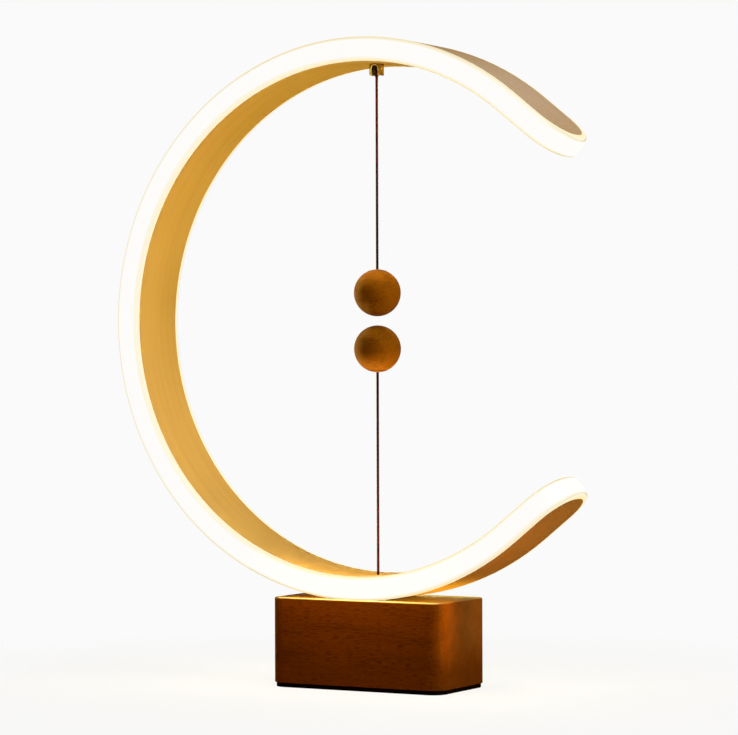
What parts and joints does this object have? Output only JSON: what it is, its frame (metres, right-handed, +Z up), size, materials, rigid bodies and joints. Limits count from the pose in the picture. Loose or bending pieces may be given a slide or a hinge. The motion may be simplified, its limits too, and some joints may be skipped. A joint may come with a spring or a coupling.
{
  "type": "magnetic balance lamp",
  "caption": "C-shaped wooden ring lamp on a small box, with a glowing rim and a pair of magnetic wooden balls on cords: lifting the lower ball to the upper one pulls the switch.",
  "frame": {"origin": "centre of the box's footprint, on the underside of the rubber mat", "axes": "+Z up; +X towards the open side of the ring; -Y the side without the power inlet"},
  "size_m": [0.3131, 0.063, 0.397],
  "materials": {
    "walnut_box": "satin oiled hardwood",
    "amber_wood": "satin varnished veneer",
    "plywood": "raw bent plywood",
    "ball_wood": "satin turned hardwood",
    "hook_wood": "satin hardwood",
    "opal_diffuser": "opal, lit from inside",
    "led_phosphor": "light-emitting chip",
    "light_board": "white coated aluminium board",
    "cord_braid": "dark brown braided cord",
    "black_rubber": "matt rubber",
    "black_plastic": "matt moulded plastic",
    "ivory_plastic": "moulded plastic",
    "circuit_board": "solder mask",
    "board_components": "component cases",
    "cast_weight": "as cast",
    "plated_steel": "zinc plated",
    "magnet_nickel": "nickel plated magnet",
    "brass": "bare brass",
    "wire_jacket": "soft insulation"
  },
  "bodies": {
    "lamp": {"base_body": "walnut_box", "bottom_plate": "black_plastic", "foot_mat": "black_rubber", "bottom_screws": "plated_steel", "ballast": "cast_weight", "ballast_screws": "plated_steel", "control_board": "circuit_board", "board_parts": "board_components", "board_screws": "plated_steel", "usb_socket": "plated_steel", "switch_case": "ivory_plastic", "switch_cap": "ivory_plastic", "switch_contacts": "brass", "switch_screws": "plated_steel", "switch_spring": "plated_steel", "ring_core": "plywood", "inner_wood_strip": "amber_wood", "outer_wood_strip": "amber_wood", "rim_diffuser": "opal_diffuser", "led_board_front": "light_board", "led_board_back": "light_board", "leds_front": "led_phosphor", "leds_back": "led_phosphor", "led_wire_front": "wire_jacket", "led_wire_back": "wire_jacket", "ring_screws": "plated_steel", "hook_block": "hook_wood", "hook_pin": "brass"},
    "upper_loop": {"upper_cord_loop": "cord_braid"},
    "upper_pendulum": {"upper_cord": "cord_braid", "upper_ball": "ball_wood", "upper_ball_plug": "ball_wood", "upper_magnet": "magnet_nickel"},
    "switch_slider": {"switch_plunger": "black_plastic", "switch_cord": "cord_braid"},
    "lower_foot": {"lower_cord_foot": "cord_braid"},
    "lower_pendulum": {"lower_cord": "cord_braid", "lower_ball": "ball_wood", "lower_ball_plug": "ball_wood", "lower_magnet": "magnet_nickel"}
  },
  "joints": [
    {"name": "upper_swing_front", "type": "hinge", "parent": "lamp", "child": "upper_loop", "pos_m": [0, 0, 0.37905], "axis": [1, 0, 0], "range_deg": [-45, 45]},
    {"name": "upper_swing_side", "type": "hinge", "parent": "upper_loop", "child": "upper_pendulum", "pos_m": [0, 0, 0.37417], "axis": [0, 1, 0], "range_deg": [-45, 45]},
    {"name": "switch_slide", "type": "slide", "parent": "lamp", "child": "switch_slider", "axis": [0, 0, 1], "range_m": [-0.0025, 0], "stiffness_N_per_m": 300, "springref_m": 0.002, "deforming": ["switch_spring"]},
    {"name": "lower_swing_front", "type": "hinge", "parent": "switch_slider", "child": "lower_foot", "pos_m": [0, 0, 0.07215], "axis": [1, 0, 0], "range_deg": [-45, 45], "stiffness_Nm_per_rad": 0.08},
    {"name": "lower_swing_side", "type": "hinge", "parent": "lower_foot", "child": "lower_pendulum", "pos_m": [0, 0, 0.07555], "axis": [0, 1, 0], "range_deg": [-45, 45], "stiffness_Nm_per_rad": 0.08}
  ]
}
